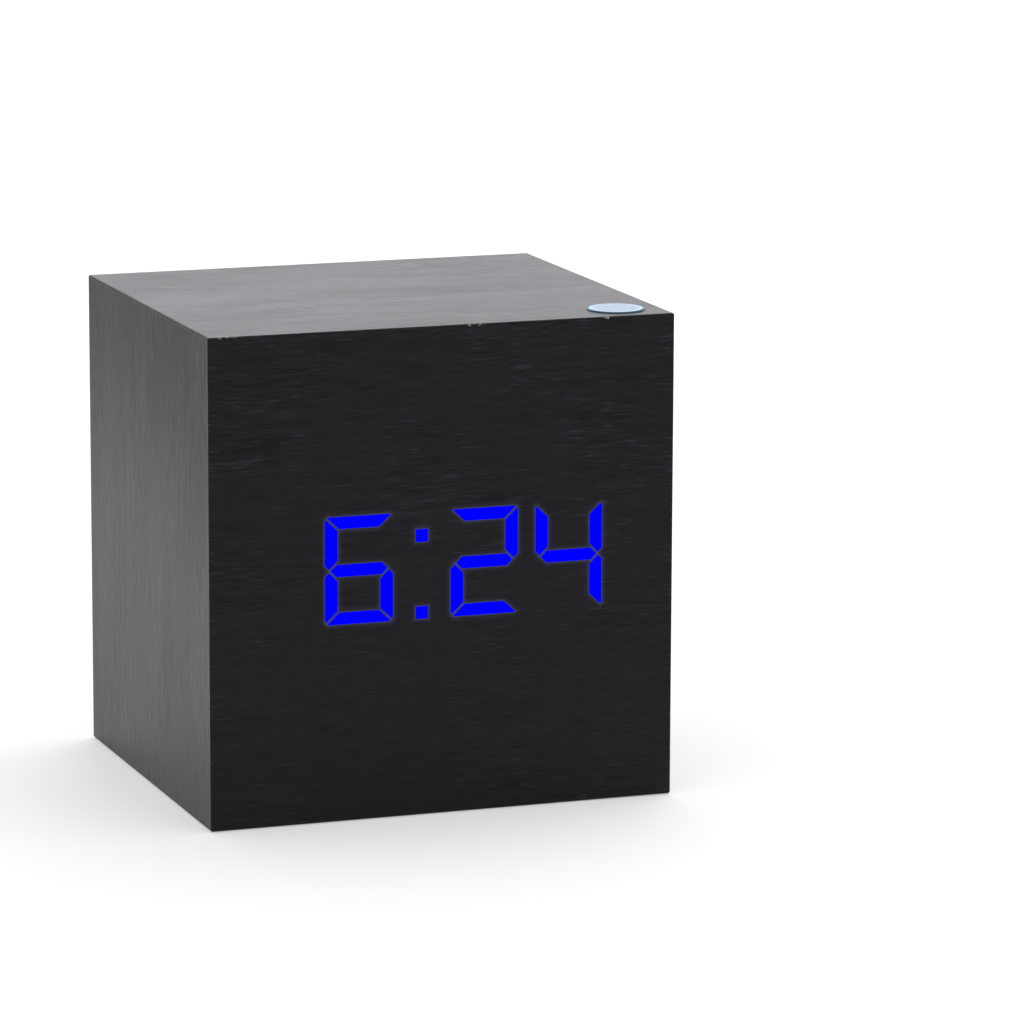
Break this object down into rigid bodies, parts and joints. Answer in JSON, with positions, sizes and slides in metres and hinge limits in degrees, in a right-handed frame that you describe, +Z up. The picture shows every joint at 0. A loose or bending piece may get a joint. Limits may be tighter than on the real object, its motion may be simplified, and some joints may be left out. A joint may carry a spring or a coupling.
{
  "type": "digital led desk clock",
  "caption": "Block-shaped desk clock in black wood-grain veneer, with a lit blue segment display behind the front, control buttons at the back and a battery door below.",
  "frame": {"origin": "middle of the underside, on the surface that the clock stands on", "axes": "+X to the right as seen from the front, +Y to the back, +Z up; the display faces -Y"},
  "size_m": [0.068, 0.06, 0.0693],
  "materials": {
    "black_veneer": "black-stained open-grain veneer, satin",
    "fibreboard": "plain medium-density board",
    "lit_segments": "lit blue",
    "badge_resin": "clear domed resin over pale blue",
    "diffuser_film": "frosted",
    "reflector_plastic": "moulded, white",
    "circuit_board": "green solder mask",
    "lamp_resin": "clear resin",
    "chip_plastic": "moulded, fine matte",
    "leg_metal": "tinned",
    "screw_steel": "zinc plated",
    "spacer_brass": "turned",
    "button_plastic": "fine matte",
    "plunger_plastic": "moulded",
    "switch_plastic": "moulded",
    "socket_plastic": "moulded",
    "socket_pin_metal": "plated",
    "microphone_rubber": "soft",
    "buzzer_plastic": "moulded",
    "capacitor_can": "shrink sleeve over a drawn can",
    "crystal_can": "drawn can",
    "thermistor_bead": "dipped",
    "plug_plastic": "moulded, natural",
    "ribbon_jacket": "flexible",
    "tray_plastic": "moulded, spark-eroded matte",
    "door_plastic": "moulded, spark-eroded matte",
    "cell_jacket": "plain printed jacket",
    "contact_nickel": "nickel plated spring steel",
    "red_lead_jacket": "soft",
    "black_lead_jacket": "soft"
  },
  "bodies": {
    "case": {"front_veneer": "black_veneer", "back_veneer": "black_veneer", "top_veneer": "black_veneer", "bottom_veneer": "black_veneer", "left_veneer": "black_veneer", "right_veneer": "black_veneer", "front_board": "fibreboard", "back_board": "fibreboard", "top_board": "fibreboard", "bottom_board": "fibreboard", "left_board": "fibreboard", "right_board": "fibreboard", "lit_hour_digit": "lit_segments", "lit_colon": "lit_segments", "lit_tens_digit": "lit_segments", "lit_units_digit": "lit_segments", "top_badge": "badge_resin", "diffuser_film": "diffuser_film", "segment_reflector": "reflector_plastic", "display_board": "circuit_board", "main_board": "circuit_board", "segment_lamps": "lamp_resin", "display_driver_chip": "chip_plastic", "controller_chip": "chip_plastic", "chip_legs": "leg_metal", "display_screws": "screw_steel", "main_board_screws": "screw_steel", "battery_tray_screws": "screw_steel", "board_spacers": "spacer_brass", "switch_housings": "switch_plastic", "power_socket": "socket_plastic", "power_socket_pin": "socket_pin_metal", "microphone": "microphone_rubber", "alarm_buzzer": "buzzer_plastic", "smoothing_capacitor": "capacitor_can", "clock_crystal": "crystal_can", "thermistor": "thermistor_bead", "ribbon_plugs": "plug_plastic", "lead_plug": "plug_plastic", "ribbon_cable": "ribbon_jacket", "battery_tray": "tray_plastic", "battery_cells": "cell_jacket", "contact_plates": "contact_nickel", "contact_springs": "contact_nickel", "red_lead": "red_lead_jacket", "black_lead": "black_lead_jacket"},
    "set_button": {"set_button_cap": "button_plastic", "set_switch_plunger": "plunger_plastic"},
    "up_button": {"up_button_cap": "button_plastic", "up_switch_plunger": "plunger_plastic"},
    "down_button": {"down_button_cap": "button_plastic", "down_switch_plunger": "plunger_plastic"},
    "door": {"battery_door": "door_plastic"}
  },
  "joints": [
    {"name": "set_button_press", "type": "slide", "parent": "case", "child": "set_button", "axis": [0, -1, 0], "range_m": [0, 0.0005], "stiffness_N_per_m": 600},
    {"name": "up_button_press", "type": "slide", "parent": "case", "child": "up_button", "axis": [0, -1, 0], "range_m": [0, 0.0005], "stiffness_N_per_m": 600},
    {"name": "down_button_press", "type": "slide", "parent": "case", "child": "down_button", "axis": [0, -1, 0], "range_m": [0, 0.0005], "stiffness_N_per_m": 600},
    {"name": "door_hinge", "type": "hinge", "parent": "case", "child": "door", "pos_m": [-0.0241, 0, 0.0003], "axis": [0, 1, 0], "range_deg": [0, 75]}
  ]
}
